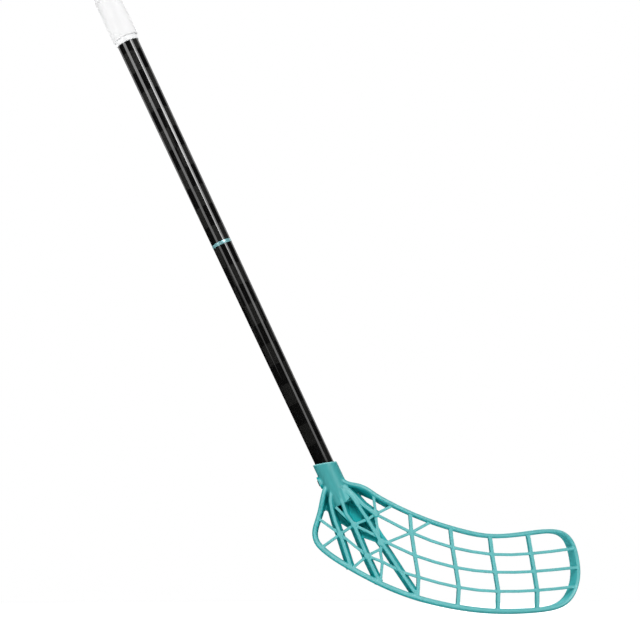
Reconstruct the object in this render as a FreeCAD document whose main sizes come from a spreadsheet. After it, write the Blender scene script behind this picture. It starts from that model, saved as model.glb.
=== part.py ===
"""Floorball stick: a tapered tube with a grip and an end cap, and a latticed blade glued and screwed on.

The stick stands as a player holds it, +Z up, toe towards +X, convex side of the blade towards -Y.
The origin is on the shaft's axis at the middle of the grip. All lengths are in millimetres.
"""
import FreeCAD
import Part
import Sketcher
import math
import os
from FreeCAD import Placement, Rotation, Vector

doc = FreeCAD.newDocument("FloorballStick")

# Driving dimensions
SIZES = [
    ("shaft_length", 920.0, "whole tube, from its foot in the socket to the butt end"),
    ("shaft_foot_diameter", 19.8, "tube where it is glued into the blade"),
    ("shaft_grip_diameter", 24.4, "tube under the grip"),
    ("shaft_wall", 1.5, "wall of the tube"),
    ("grip_length", 348.6, "grip sleeve, up to the butt end of the tube"),
    ("grip_thickness", 2.3, "wall of the grip sleeve"),
    ("band_length", 5.8, "finishing tape below the grip"),
    ("band_thickness", 0.75, "wall of the finishing tape"),
    ("ring_length", 3.8, "printed foil ring round the shaft"),
    ("ring_thickness", 0.15, "thickness of the foil"),
    ("ring_height", 268.5, "middle of the ring, above the socket mouth"),
    ("cap_head_length", 13.0, "end cap outside the tube"),
    ("cap_plug_length", 34.0, "end cap inside the tube"),
    ("cap_round", 5.0, "rounding of the end cap's rim"),
    ("cap_setback", 0.3, "how far the cap's head stays inside the grip's outside"),
    ("cap_fit", 0.1, "gap round the end cap's plug"),
    ("socket_depth", 45.7, "how deep the shaft sits in the blade"),
    ("socket_floor", 2.9, "plastic under the foot of the shaft"),
    ("glue_film", 0.3, "glue between shaft and socket"),
    ("mouth_slant", 15.0, "socket mouth out of square with the shaft, in degrees"),
    ("neck_mouth_wall", 2.5, "plastic round the socket at its mouth"),
    ("neck_foot_wall", 2.6, "plastic round the socket at its foot"),
    ("boss_diameter", 14.0, "pad round the screw"),
    ("boss_height", 2.2, "how far the pad stands out of the neck"),
    ("screw_sink", 1.6, "seat of the screw's head below the pad's face"),
    ("screw_drop", 17.2, "screw axis below the socket mouth"),
    ("screw_diameter", 4.0, "screw shank over its thread"),
    ("screw_reach", 3.0, "screw tip inside the tube's wall"),
    ("screw_tip_length", 2.0, "cone at the tip of the screw"),
    ("screw_head_diameter", 7.2, "head of the screw"),
    ("screw_head_height", 2.2, "head of the screw"),
    ("screw_head_round", 0.8, "rounding of the head's rim"),
    ("screw_recess_width", 2.6, "across the corners of the driver recess"),
    ("screw_recess_depth", 1.4, "depth of the driver recess"),
    ("screw_fit", 0.15, "gap round the shank and under the head"),
    ("lie_angle", 25.1, "shaft from the upright, in degrees"),
    ("blade_length", 300.0, "heel to toe, across the face"),
    ("blade_rise", 163.8, "sole to the middle of the socket mouth"),
    ("bend_radius", 476.0, "radius of the blade's hook"),
    ("face_step", 2.25, "near face of the blade in front of the neck's foot"),
    ("rim_width", 5.15, "rim of the blade, seen from the face"),
    ("rim_depth", 10.5, "rim of the blade, square to the face"),
    ("rim_edge", 1.8, "bevel along the near edge of the rim"),
    ("column_width", 3.9, "upright ribs between rim and sole"),
    ("long_rib_width", 3.15, "ribs that run from the heel to the toe"),
    ("cross_rib_width", 3.05, "thin ribs of the heel"),
    ("lattice_depth", 4.8, "columns, long ribs and thin ribs, square to the face"),
    ("deep_rib_width", 3.2, "near edge of a deep rib"),
    ("deep_rib_base", 10.2, "far edge of a deep rib"),
    ("deep_rib_lean", 1.05, "how far the far edge of a deep rib stands towards the heel"),
    ("deep_rib_depth", 14.3, "deep ribs at half height"),
    ("hub_radius", 3.4, "disc where ribs meet"),
    ("web_thickness", 2.3, "closed web behind the deep ribs"),
    ("web_neck_depth", 20.0, "web below the near face, at the foot of the socket"),
    ("web_heel_depth", 9.5, "web below the near face, at the heel"),
    ("web_toe_depth", 5.0, "web below the near face, on the toe side"),
    ("scoop_neck_depth", 17.0, "sloping floor between two deep ribs, below the near face at the neck"),
    ("scoop_foot_depth", 5.5, "the same floor at its low end"),
    ("apron_depth", 1.0, "plate between the second and third deep ribs at the neck, below the near face"),
    ("facet_depth", 2.3, "plate between the third and fourth deep ribs, below the near face"),
    ("gusset_thickness", 6.0, "the same two plates"),
    ("well_depth", 24.8, "blind well beside the foot of the socket, below the near face"),
    ("layer_step", 0.35, "step between the near faces of crossing ribs"),
    ("rib_root", 2.1, "how far a rib runs into what it meets"),
    ("cut_overrun", 2.0, "how far a cut runs past what it cuts"),
]

sheet = doc.addObject("Spreadsheet::Sheet", "Sizes")
for row, (alias, value, note) in enumerate(SIZES, start=1):
    sheet.set(f"A{row}", note)
    sheet.set(f"B{row}", str(value))
    sheet.setAlias(f"B{row}", alias)
doc.recompute()


class Measure:
    """A length with both its value and the sheet expression that gives it."""

    def __init__(self, value, text):
        self.value = value
        self.text = text

    def __add__(self, other):
        return Measure(self.value + other.value, f"({self.text} + {other.text})")

    def __sub__(self, other):
        return Measure(self.value - other.value, f"({self.text} - {other.text})")

    def half(self):
        return Measure(self.value / 2, f"({self.text} / 2)")


def size(alias):
    """One driving dimension as a Measure."""
    return Measure(float(sheet.get(alias)), f"Sizes.{alias}")


def length(alias):
    """One driving dimension as a plain number."""
    return float(sheet.get(alias))


# Levels along the shaft, from the socket mouth upwards
zero = Measure(0.0, "0")
foot_level = zero - size("socket_depth")
top_level = size("shaft_length") - size("socket_depth")
grip_level = top_level - size("grip_length")
band_level = grip_level - size("band_length")

# The shaft's line: local Z runs up the shaft, local -X points to the heel side
lie = length("lie_angle")
up_shaft = Vector(-math.sin(math.radians(lie)), 0, math.cos(math.radians(lie)))
turn_to_shaft = Rotation(Vector(0, 1, 0), -lie)
mouth = up_shaft * -(top_level.value - length("grip_length") / 2)
on_shaft = Placement(mouth, turn_to_shaft)


def turned_body(label, corners):
    """A body turned about the shaft's line from a closed profile of (radius, level) corners."""
    body = doc.addObject("PartDesign::Body", label)
    profile = body.newObject("Sketcher::SketchObject", f"{label}_profile")
    plane = next(item for item in body.Origin.OriginFeatures if item.Role == "XZ_Plane")
    profile.AttachmentSupport = [(plane, "")]
    profile.MapMode = "FlatFace"
    points = [Vector(radius.value, level.value, 0) for radius, level in corners]
    count = len(points)
    for index in range(count):
        profile.addGeometry(Part.LineSegment(points[index], points[(index + 1) % count]))
    for index in range(count):
        profile.addConstraint(Sketcher.Constraint("Coincident", index, 2, (index + 1) % count, 1))
    for index, (radius, level) in enumerate(corners):
        for kind, axis, measure in (("DistanceX", -2, radius), ("DistanceY", -1, level)):
            if measure.value == 0:
                profile.addConstraint(Sketcher.Constraint("PointOnObject", index, 1, axis))
                continue
            name = f"{kind}_{index}"
            number = profile.addConstraint(Sketcher.Constraint(kind, -1, 1, index, 1, measure.value))
            profile.renameConstraint(number, name)
            profile.setExpression(f"Constraints.{name}", measure.text)
    turn = body.newObject("PartDesign::Revolution", f"{label}_turn")
    turn.Profile = profile
    turn.ReferenceAxis = (profile, ["V_Axis"])
    turn.Angle = 360
    body.Placement = on_shaft
    return body


def primitive(kind, name, sizes, placement):
    """A primitive whose sizes are bound to the sheet, at its place."""
    item = doc.addObject(kind, name)
    for field, measure in sizes.items():
        item.setExpression(field, measure.text)
    item.Placement = placement
    return item


def cut(label, base, tools):
    """The base with every tool taken out of it, one after the other."""
    for index, tool in enumerate(tools):
        last = index == len(tools) - 1
        item = doc.addObject("Part::Cut", label if last else f"{label}_cut_{index}")
        item.Base = base
        item.Tool = tool
        base = item
    return base


# Radii round the shaft's line
foot_radius = size("shaft_foot_diameter").half()
tube_radius = size("shaft_grip_diameter").half()
foot_bore = foot_radius - size("shaft_wall")
tube_bore = tube_radius - size("shaft_wall")
grip_radius = tube_radius + size("grip_thickness")
socket_radius = foot_radius + size("glue_film")
mouth_radius = socket_radius + size("neck_mouth_wall")
neck_radius = socket_radius + size("neck_foot_wall")


def shaft_radius_at(level):
    """Outside of the tube on its taper, between the socket mouth and the grip."""
    share = f"(({level.text}) / ({band_level.text}))"
    value = foot_radius.value + (tube_radius.value - foot_radius.value) * level.value / band_level.value
    return Measure(value, f"({foot_radius.text} + ({tube_radius.text} - {foot_radius.text}) * {share})")


# Place of the blade screw: square to the shaft, out of the heel side of the neck
screw_level = zero - size("screw_drop")
pad_face = mouth_radius + size("boss_height")
head_seat = pad_face - size("screw_sink")
screw_seat = head_seat + size("screw_fit")
screw_tip = foot_bore - size("screw_reach")
heelwards = turn_to_shaft.multVec(Vector(-1, 0, 0))
turn_to_screw = turn_to_shaft.multiply(Rotation(Vector(0, 0, 1), Vector(-1, 0, 0)))
screw_centre = mouth + up_shaft * screw_level.value
along_screw = Placement(screw_centre, turn_to_screw)
screw_bore = size("screw_diameter").half() + size("screw_fit")


def screw_way(name):
    """The clearance hole that the screw's shank goes through."""
    return primitive(
        "Part::Cylinder",
        name,
        {"Radius": screw_bore, "Height": screw_seat + size("cut_overrun")},
        along_screw,
    )


# Shaft: straight in the socket, tapered up to the finishing tape, straight under the grip
tube = turned_body(
    "shaft_blank",
    [
        (foot_bore, foot_level),
        (foot_radius, foot_level),
        (foot_radius, zero),
        (tube_radius, band_level),
        (tube_radius, top_level),
        (tube_bore, top_level),
        (tube_bore, band_level),
        (foot_bore, zero),
    ],
)
shaft = cut("shaft_tube", tube, [screw_way("shaft_screw_hole")])

# Glue: a thin sleeve between the tube and the socket wall, up to the low side of the slanted mouth
slant = math.tan(math.radians(length("mouth_slant")))
mouth_low = Measure(
    -mouth_radius.value * slant,
    f"(0 - {mouth_radius.text} * tan(Sizes.mouth_slant * 1deg))",
)
glue_blank = turned_body(
    "glue_blank",
    [
        (foot_radius, foot_level),
        (socket_radius, foot_level),
        (socket_radius, mouth_low),
        (foot_radius, mouth_low),
    ],
)
glue = cut("socket_glue", glue_blank, [screw_way("glue_screw_hole")])

# Grip, its finishing tape and the printed ring
grip = turned_body(
    "grip",
    [
        (tube_radius, grip_level),
        (grip_radius, grip_level),
        (grip_radius, top_level),
        (tube_radius, top_level),
    ],
)
band_radius = tube_radius + size("band_thickness")
band = turned_body(
    "grip_band",
    [
        (tube_radius, band_level),
        (band_radius, band_level),
        (band_radius, grip_level),
        (tube_radius, grip_level),
    ],
)
ring_foot = size("ring_height") - size("ring_length").half()
ring_head = size("ring_height") + size("ring_length").half()
ring = turned_body(
    "ring_mark",
    [
        (shaft_radius_at(ring_foot), ring_foot),
        (shaft_radius_at(ring_foot) + size("ring_thickness"), ring_foot),
        (shaft_radius_at(ring_head) + size("ring_thickness"), ring_head),
        (shaft_radius_at(ring_head), ring_head),
    ],
)

# End cap: a plug in the tube and a rounded head on its butt end
cap_radius = grip_radius - size("cap_setback")
cap_seat = top_level + size("cap_fit")
cap_top = cap_seat + size("cap_head_length")
plug_radius = tube_bore - size("cap_fit")
cap = turned_body(
    "end_cap",
    [
        (zero, top_level - size("cap_plug_length")),
        (plug_radius, top_level - size("cap_plug_length")),
        (plug_radius, cap_seat),
        (cap_radius, cap_seat),
        (cap_radius, cap_top - size("cap_round")),
        (cap_radius - size("cap_round").half(), cap_top - size("cap_round").half().half()),
        (cap_radius - size("cap_round"), cap_top),
        (zero, cap_top),
    ],
)

# Blade screw: pan head, shank and tip, turned along its own line, with a six-sided recess
head_top = screw_seat + size("screw_head_height")
shank_radius = size("screw_diameter").half()
head_radius = size("screw_head_diameter").half()
screw_blank = turned_body(
    "screw_blank",
    [
        (zero, screw_tip),
        (shank_radius, screw_tip + size("screw_tip_length")),
        (shank_radius, screw_seat),
        (head_radius, screw_seat),
        (head_radius, head_top - size("screw_head_round")),
        (head_radius - size("screw_head_round"), head_top),
        (zero, head_top),
    ],
)
screw_blank.Placement = along_screw
RECESS_SIDES = 6
recess = primitive(
    "Part::Prism",
    "screw_recess",
    {
        "Circumradius": size("screw_recess_width").half(),
        "Height": size("screw_recess_depth") + size("cut_overrun"),
    },
    Placement(screw_centre + heelwards * (head_top - size("screw_recess_depth")).value, turn_to_screw),
)
recess.Polygon = RECESS_SIDES
screw = cut("blade_screw", screw_blank, [recess])

# The blade's face: places are shares of blade_length from the heel and of blade_rise from the sole
MOUTH_SHARE = 0.046
BEND_START_SHARE = 0.225
face_stand = neck_radius + size("face_step")


def inward_at(place):
    """Direction square to the curved face, away from the viewer, at a place on the face."""
    across = (place[0] - BEND_START_SHARE) * length("blade_length")
    angle = math.asin(across / length("bend_radius"))
    return Vector(-math.sin(angle), math.cos(angle), 0)


def on_face(place, depth=0.0):
    """The point at a place on the curved near face, or that deep below it."""
    inward = inward_at(place)
    across = (place[0] - MOUTH_SHARE) * length("blade_length")
    rise = (place[1] - 1) * length("blade_rise")
    fall = length("bend_radius") * (1 - inward.y)
    return mouth + Vector(across, fall - face_stand.value, rise) + inward * depth


def headings(places):
    """The direction of a path over the face at each of its places."""
    points = [on_face(place) for place in places]
    ends = len(points) - 1
    return [(points[min(i + 1, ends)] - points[max(i - 1, 0)]).normalize() for i in range(len(points))]


def skin_loft(sections, ruled):
    """A solid through closed sections, each a list of points."""
    wires = [Part.makePolygon(section + section[:1]) for section in sections]
    return Part.makeLoft(wires, True, ruled)


def rib(places, near_width, far_width, near_depths, far_depths, lean=0.0):
    """A rib along places on the face, run on a little past both ends into what it meets."""
    ways = headings(places)
    sections = []
    for index, place in enumerate(places):
        inward = inward_at(place)
        aside = inward.cross(ways[index]).normalize()
        point = on_face(place)
        if index == 0:
            point = point - ways[index] * length("rib_root")
        if index == len(places) - 1:
            point = point + ways[index] * length("rib_root")
        near = point + inward * near_depths[index]
        far = point + inward * far_depths[index] + aside * lean
        sections.append(
            [
                near - aside * (near_width / 2),
                near + aside * (near_width / 2),
                far + aside * (far_width / 2),
                far - aside * (far_width / 2),
            ]
        )
    return skin_loft(sections, True)


RIM_SECTIONS = 64
# Rim: a place on the outer edge, then the share of rim_width and of rim_depth there, and the share
# of rim_depth by which the near edge dips into the neck
RIM_SHARES = [
    (0.046, 0.880, 1.00, 2.05, 0.60),
    (0.035, 0.815, 1.00, 2.00, 0.14),
    (0.016, 0.656, 1.00, 1.60, 0.00),
    (0.000, 0.545, 1.00, 1.15, 0.00),
    (0.003, 0.490, 1.04, 1.00, 0.00),
    (0.023, 0.433, 1.08, 1.00, 0.00),
    (0.067, 0.366, 1.12, 1.00, 0.00),
    (0.142, 0.282, 1.15, 1.00, 0.00),
    (0.246, 0.184, 1.15, 1.00, 0.00),
    (0.365, 0.100, 1.15, 1.00, 0.00),
    (0.478, 0.047, 1.15, 1.00, 0.00),
    (0.580, 0.016, 1.15, 1.00, 0.00),
    (0.694, 0.001, 1.12, 1.00, 0.00),
    (0.772, 0.003, 1.08, 1.00, 0.00),
    (0.850, 0.013, 1.00, 1.10, 0.00),
    (0.909, 0.034, 0.94, 1.25, 0.00),
    (0.953, 0.080, 0.90, 1.35, 0.00),
    (0.981, 0.154, 0.90, 1.40, 0.00),
    (0.995, 0.245, 0.90, 1.42, 0.00),
    (0.995, 0.325, 0.90, 1.42, 0.00),
    (0.986, 0.417, 0.90, 1.40, 0.00),
    (0.966, 0.502, 0.90, 1.32, 0.00),
    (0.931, 0.553, 0.90, 1.22, 0.00),
    (0.888, 0.567, 0.92, 1.10, 0.00),
    (0.840, 0.562, 0.93, 1.00, 0.00),
    (0.795, 0.551, 0.93, 1.00, 0.00),
    (0.741, 0.539, 0.93, 1.00, 0.00),
    (0.687, 0.532, 0.93, 1.00, 0.00),
    (0.625, 0.537, 0.93, 1.00, 0.00),
    (0.542, 0.568, 0.93, 1.00, 0.00),
    (0.467, 0.607, 0.93, 1.00, 0.00),
    (0.365, 0.677, 0.95, 1.00, 0.00),
    (0.290, 0.742, 1.00, 1.25, 0.00),
    (0.225, 0.810, 1.00, 1.60, 0.00),
    (0.184, 0.855, 1.00, 1.75, 0.08),
    (0.142, 0.874, 1.00, 1.95, 0.28),
    (0.093, 0.922, 1.00, 2.05, 0.60),
]


def make_rim():
    """The rim: a bevelled bar whose outer wall follows the blade's outline, drawn as one smooth curve."""
    across = length("blade_length")
    rise = length("blade_rise")
    spots = [Vector(row[0] * across, row[1] * rise, 0) for row in RIM_SHARES]
    runs = [0.0]
    for before, after in zip(spots, spots[1:]):
        runs.append(runs[-1] + (after - before).Length)
    outline = Part.BSplineCurve()
    outline.interpolate(Points=spots, Parameters=runs)
    section = Part.BSplineCurve()
    shares_along = [Vector(row[2], row[3], run) for row, run in zip(RIM_SHARES, runs)]
    section.interpolate(Points=shares_along, Parameters=runs)
    dip = Part.BSplineCurve()
    dip.interpolate(Points=[Vector(row[4], 0, run) for row, run in zip(RIM_SHARES, runs)], Parameters=runs)
    edge = length("rim_edge")
    sections = []
    for index in range(RIM_SECTIONS):
        run = runs[-1] * index / (RIM_SECTIONS - 1)
        spot = outline.value(run)
        place = (spot.x / across, spot.y / rise)
        inward = inward_at(place)
        lean = outline.tangent(run)[0]
        way = Vector(inward.y, -inward.x, 0) * lean.x + Vector(0, 0, 1) * lean.y
        inside = way.cross(inward).normalize()
        shares = section.value(run)
        dipped = max(dip.value(run).x, 0) * length("rim_depth")
        outer = on_face(place, dipped)
        inner = outer + inside * (shares.x * length("rim_width"))
        depth = shares.y * length("rim_depth") - dipped
        sections.append(
            [
                outer + inward * edge,
                outer + inside * edge,
                inner - inside * edge,
                inner + inward * edge,
                inner + inward * depth,
                outer + inward * depth,
            ]
        )
    return skin_loft(sections, False)


# Where ribs meet
HEEL_HUB_SHARE = (0.102, 0.528)
NECK_HUB_SHARE = (0.152, 0.590)
SOLE_HUB_SHARE = (0.199, 0.385)
MAIN_HUB_SHARE = (0.250, 0.475)
UPPER_HUB_SHARE = (0.201, 0.626)
TOP_HUB_SHARE = (0.231, 0.660)
# Discs at these places, with their shares of hub_radius
HUB_SHARES = [
    (HEEL_HUB_SHARE, 1.00),
    (NECK_HUB_SHARE, 0.95),
    (SOLE_HUB_SHARE, 0.95),
    (MAIN_HUB_SHARE, 1.20),
    (TOP_HUB_SHARE, 0.85),
]

# Deep ribs fan out from the neck, and the last is a flange inside the top rim: shares of deep_rib_width,
# deep_rib_base and deep_rib_lean, then places, and the shares of deep_rib_depth at which the near and
# far edges lie there
DEEP_RIB_SHARES = [
    (
        (1.00, 1.00, 1.00),
        [(0.069, 0.806), (0.066, 0.750), (0.0715, 0.690), (0.085, 0.608), HEEL_HUB_SHARE, (0.140, 0.316)],
        [0.14, 0.03, 0.02, 0.02, 0.02, 0.02],
        [1.50, 1.42, 1.33, 1.15, 1.00, 0.80],
    ),
    (
        (1.00, 1.00, 0.70),
        [(0.090, 0.815), (0.110, 0.735), (0.126, 0.655), NECK_HUB_SHARE, SOLE_HUB_SHARE, (0.242, 0.222)],
        [0.06, 0.00, 0.01, 0.02, 0.02, 0.02],
        [1.45, 1.40, 1.25, 1.10, 0.95, 0.80],
    ),
    (
        (1.00, 1.00, -0.60),
        [(0.111, 0.838), (0.128, 0.808), (0.146, 0.774), (0.1645, 0.724), (0.180, 0.683), UPPER_HUB_SHARE,
         MAIN_HUB_SHARE, (0.321, 0.280), (0.375, 0.135)],
        [0.20, 0.05, 0.02, 0.02, 0.02, 0.02, 0.02, 0.02, 0.02],
        [1.45, 1.45, 1.42, 1.35, 1.25, 1.15, 1.00, 0.90, 0.80],
    ),
    (
        (1.10, 1.00, 0.00),
        [(0.118, 0.842), (0.134, 0.818), (0.158, 0.776), (0.187, 0.719), TOP_HUB_SHARE],
        [0.24, 0.10, 0.06, 0.05, 0.03],
        [1.45, 1.45, 1.35, 1.00, 0.70],
    ),
    (
        (0.95, 0.86, 1.80),
        [(0.140, 0.859), (0.182, 0.838), (0.221, 0.797), (0.250, 0.765), (0.279, 0.735)],
        [0.36, 0.18, 0.16, 0.16, 0.16],
        [1.35, 1.10, 0.90, 0.82, 0.75],
    ),
]

# Thin ribs of the heel
CROSS_RIB_SHARES = [
    [(0.030, 0.622), HEEL_HUB_SHARE],
    [(0.042, 0.450), HEEL_HUB_SHARE],
    [HEEL_HUB_SHARE, NECK_HUB_SHARE],
    [HEEL_HUB_SHARE, SOLE_HUB_SHARE],
    [(0.090, 0.698), NECK_HUB_SHARE],
    [NECK_HUB_SHARE, UPPER_HUB_SHARE, TOP_HUB_SHARE],
    [NECK_HUB_SHARE, (0.236, 0.513)],
    [SOLE_HUB_SHARE, (0.151, 0.312)],
    [SOLE_HUB_SHARE, (0.246, 0.428)],
    [MAIN_HUB_SHARE, (0.2485, 0.400), (0.2545, 0.340), (0.248, 0.222)],
    [TOP_HUB_SHARE, (0.224, 0.766)],
    [TOP_HUB_SHARE, (0.287, 0.712)],
    [TOP_HUB_SHARE, (0.234, 0.600), (0.242, 0.520)],
    [(0.257, 0.462), (0.361, 0.538), (0.425, 0.602)],
]

# Long ribs from the heel to the toe, and columns from the top rim to the sole
LONG_RIB_SHARES = [
    [TOP_HUB_SHARE, (0.361, 0.538), (0.435, 0.484), (0.511, 0.441), (0.584, 0.414), (0.658, 0.396),
     (0.732, 0.394), (0.806, 0.402), (0.886, 0.417), (0.966, 0.436)],
    [(0.260, 0.482), (0.373, 0.388), (0.448, 0.344), (0.523, 0.309), (0.596, 0.288), (0.669, 0.278),
     (0.743, 0.277), (0.817, 0.283), (0.899, 0.295), (0.982, 0.310)],
    [SOLE_HUB_SHARE, (0.258, 0.344), (0.324, 0.280), (0.386, 0.246), (0.460, 0.208), (0.534, 0.178),
     (0.607, 0.159), (0.680, 0.151), (0.754, 0.151), (0.828, 0.157), (0.900, 0.167), (0.966, 0.179)],
]
COLUMN_SHARES = [
    [(0.356, 0.660), (0.361, 0.538), (0.373, 0.388), (0.386, 0.246), (0.382, 0.120)],
    [(0.504, 0.560), (0.511, 0.441), (0.523, 0.309), (0.534, 0.178), (0.529, 0.060)],
    [(0.651, 0.506), (0.658, 0.396), (0.669, 0.278), (0.680, 0.151), (0.678, 0.036)],
    [(0.795, 0.520), (0.806, 0.402), (0.817, 0.283), (0.828, 0.157), (0.827, 0.040)],
]

# Closed web behind the deep ribs: its edge, with hollows between the ribs
WEB_SHARES = [
    (0.039, 0.800),
    (0.034, 0.672),
    (0.052, 0.688),
    (0.064, 0.670),
    (0.088, 0.590),
    (0.107, 0.598),
    (0.129, 0.572),
    (0.160, 0.530),
    (0.187, 0.503),
    (0.229, 0.476),
    (0.240, 0.450),
    (0.262, 0.455),
    (0.2775, 0.479),
    (0.2573, 0.5295),
    (0.239, 0.587),
    (0.238, 0.650),
    (0.221, 0.672),
    (0.186, 0.752),
    (0.178, 0.792),
    (0.225, 0.752),
    (0.256, 0.745),
    (0.186, 0.830),
    (0.127, 0.880),
]
# The web's plane passes these places at these depths
WEB_REST_SHARES = [
    ((0.115, 0.732), "web_neck_depth"),
    ((0.059, 0.560), "web_heel_depth"),
    ((0.265, 0.470), "web_toe_depth"),
]

# Sloping floor of the wide opening between the second and third deep ribs, solid down to the web
SCOOP_SHARES = [
    (0.104, 0.775),
    (0.147, 0.775),
    (0.166, 0.725),
    (0.181, 0.683),
    UPPER_HUB_SHARE,
    NECK_HUB_SHARE,
    (0.128, 0.655),
    (0.114, 0.735),
]
SCOOP_REST_SHARES = [
    ((0.140, 0.745), "scoop_neck_depth"),
    (NECK_HUB_SHARE, "scoop_foot_depth"),
    (UPPER_HUB_SHARE, "scoop_foot_depth"),
]

# Plates that join the deep ribs to each other where they leave the neck, each with its depth
GUSSET_SHARES = [
    (
        "apron_depth",
        [(0.086, 0.812), (0.098, 0.837), (0.107, 0.836), (0.1235, 0.800), (0.137, 0.768), (0.1224, 0.739),
         (0.110, 0.735)],
    ),
    (
        "facet_depth",
        [(0.136, 0.800), (0.158, 0.776), (0.187, 0.719), (0.179, 0.704), (0.1645, 0.728), (0.146, 0.774)],
    ),
]
GUSSET_REST_SHARES = [(0.096, 0.818), (0.114, 0.735), (0.186, 0.719)]


def sloped(places, rests):
    """Corners straight behind places on the face, in the plane through three rests at their depths."""
    points = [on_face(place, length(depth)) for place, depth in rests]
    square = (points[1] - points[0]).cross(points[2] - points[0])
    corners = []
    for place in places:
        corner = on_face(place)
        drop = (points[0] - corner).dot(square) / square.y
        corners.append(corner + Vector(0, drop, 0))
    return corners


def plate(corners, thickness):
    """A flat plate of even thickness behind its corners."""
    face = Part.Face(Part.makePolygon(corners + corners[:1]))
    return face.extrude(Vector(0, length(thickness), 0))


def make_plates():
    """The web, the floor that slopes from the neck up to the near face, and the gussets."""
    web = plate(sloped(WEB_SHARES, WEB_REST_SHARES), "web_thickness")
    scoop = skin_loft([sloped(SCOOP_SHARES, SCOOP_REST_SHARES), sloped(SCOOP_SHARES, WEB_REST_SHARES)], True)
    gussets = []
    for depth, places in GUSSET_SHARES:
        rests = [(rest, depth) for rest in GUSSET_REST_SHARES]
        gussets.append(plate(sloped(places, rests), "gusset_thickness"))
    return [web, scoop] + gussets


# Blind well between two deep ribs, just below the foot of the socket
WELL_SHARES = [(0.083, 0.712), (0.107, 0.735), (0.127, 0.648)]
WELL_WALL_SHARE = 0.35


def well_prism(grow_share, near_depth, far_depth):
    """A three-sided prism under the well's mouth, grown about its middle by a share of its size."""
    points = [on_face(place) for place in WELL_SHARES]
    middle = (points[0] + points[1] + points[2]) * (1 / len(points))
    corners = [middle + (point - middle) * (1 + grow_share) + Vector(0, near_depth, 0) for point in points]
    face = Part.Face(Part.makePolygon(corners + corners[:1]))
    return face.extrude(Vector(0, far_depth - near_depth, 0))


# Depth of the hubs' near faces, as a share of layer_step
HUB_STEP_SHARE = 0.67


def make_hub(place, share):
    """The disc that rounds out the place where ribs meet."""
    inward = inward_at(place)
    foot = on_face(place, HUB_STEP_SHARE * length("layer_step"))
    return Part.makeCylinder(share * length("hub_radius"), length("lattice_depth"), foot, inward)


# Thin members by layer: how many layer steps their near faces lie below the rim's, width, paths
LAYERS = [
    (2, "column_width", COLUMN_SHARES),
    (3, "long_rib_width", LONG_RIB_SHARES),
    (4, "cross_rib_width", CROSS_RIB_SHARES),
]


def make_lattice():
    """Rim, ribs, hubs and web in one piece, before the neck joins them."""
    step = length("layer_step")
    flat = length("lattice_depth")
    deep = length("deep_rib_depth")
    well_floor = length("well_depth") + length("web_thickness")
    bars = make_plates() + [well_prism(WELL_WALL_SHARE, deep, well_floor)]
    bars += [make_hub(place, share) for place, share in HUB_SHARES]
    for (width_share, base_share, lean_share), places, near_shares, far_shares in DEEP_RIB_SHARES:
        near = [share * deep for share in near_shares]
        far = [share * deep for share in far_shares]
        width = width_share * length("deep_rib_width")
        base = base_share * length("deep_rib_base")
        lean = lean_share * length("deep_rib_lean")
        bars.append(rib(places, width, base, near, far, lean))
    for steps, width, paths in LAYERS:
        for places in paths:
            near = [steps * step] * len(places)
            far = [depth + flat for depth in near]
            bars.append(rib(places, length(width), length(width), near, far))
    return make_rim().multiFuse(bars).cut(well_prism(0, flat, length("well_depth")))


lattice = doc.addObject("Part::Feature", "lattice")
lattice.Shape = make_lattice()

# Neck: a slightly flared tube with a slanted mouth and a pad for the screw
neck_level = foot_level - size("socket_floor")
neck_blank = turned_body(
    "neck_blank",
    [
        (zero, neck_level),
        (neck_radius, neck_level),
        (mouth_radius, zero),
        (mouth_radius, mouth_radius),
        (zero, mouth_radius),
    ],
)
turn_to_mouth = Rotation(Vector(0, 1, 0), length("mouth_slant") - lie)
mouth_cut = primitive(
    "Part::Cylinder",
    "mouth_cut",
    {"Radius": mouth_radius + mouth_radius, "Height": mouth_radius + mouth_radius},
    Placement(mouth, turn_to_mouth),
)
neck = cut("neck", neck_blank, [mouth_cut])
pad = primitive(
    "Part::Cylinder",
    "screw_pad",
    {"Radius": size("boss_diameter").half(), "Height": pad_face},
    along_screw,
)
blade_blank = doc.addObject("Part::MultiFuse", "blade_blank")
blade_blank.Shapes = [lattice, neck, pad]
socket = primitive(
    "Part::Cylinder",
    "socket",
    {"Radius": socket_radius, "Height": size("socket_depth") + mouth_radius},
    Placement(mouth - up_shaft * length("socket_depth"), turn_to_shaft),
)
head_pocket = primitive(
    "Part::Cylinder",
    "head_pocket",
    {
        "Radius": size("screw_head_diameter").half() + size("screw_fit"),
        "Height": size("screw_sink") + size("cut_overrun"),
    },
    Placement(screw_centre + heelwards * head_seat.value, turn_to_screw),
)
blade = cut("blade", blade_blank, [socket, screw_way("blade_screw_hole"), head_pocket])

doc.recompute()

pieces = [shaft, blade, screw, glue, grip, band, cap, ring]
for item in doc.Objects:
    if any(word in item.State for word in ("Invalid", "Error")):
        raise RuntimeError(f"{item.Label} could not be made: {item.State}")
for piece in pieces:
    shape = piece.Shape
    if shape.isNull() or not shape.isValid() or len(shape.Solids) != 1:
        raise RuntimeError(f"{piece.Label} is not one sound solid")

os.makedirs("parts", exist_ok=True)
for piece in pieces:
    piece.Shape.exportStep(os.path.join("parts", f"{piece.Label}.step"))
    print(piece.Label, round(piece.Shape.Volume / 1000, 2), "cm3")
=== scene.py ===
import bpy
import numpy as np
from mathutils import Matrix


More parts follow.
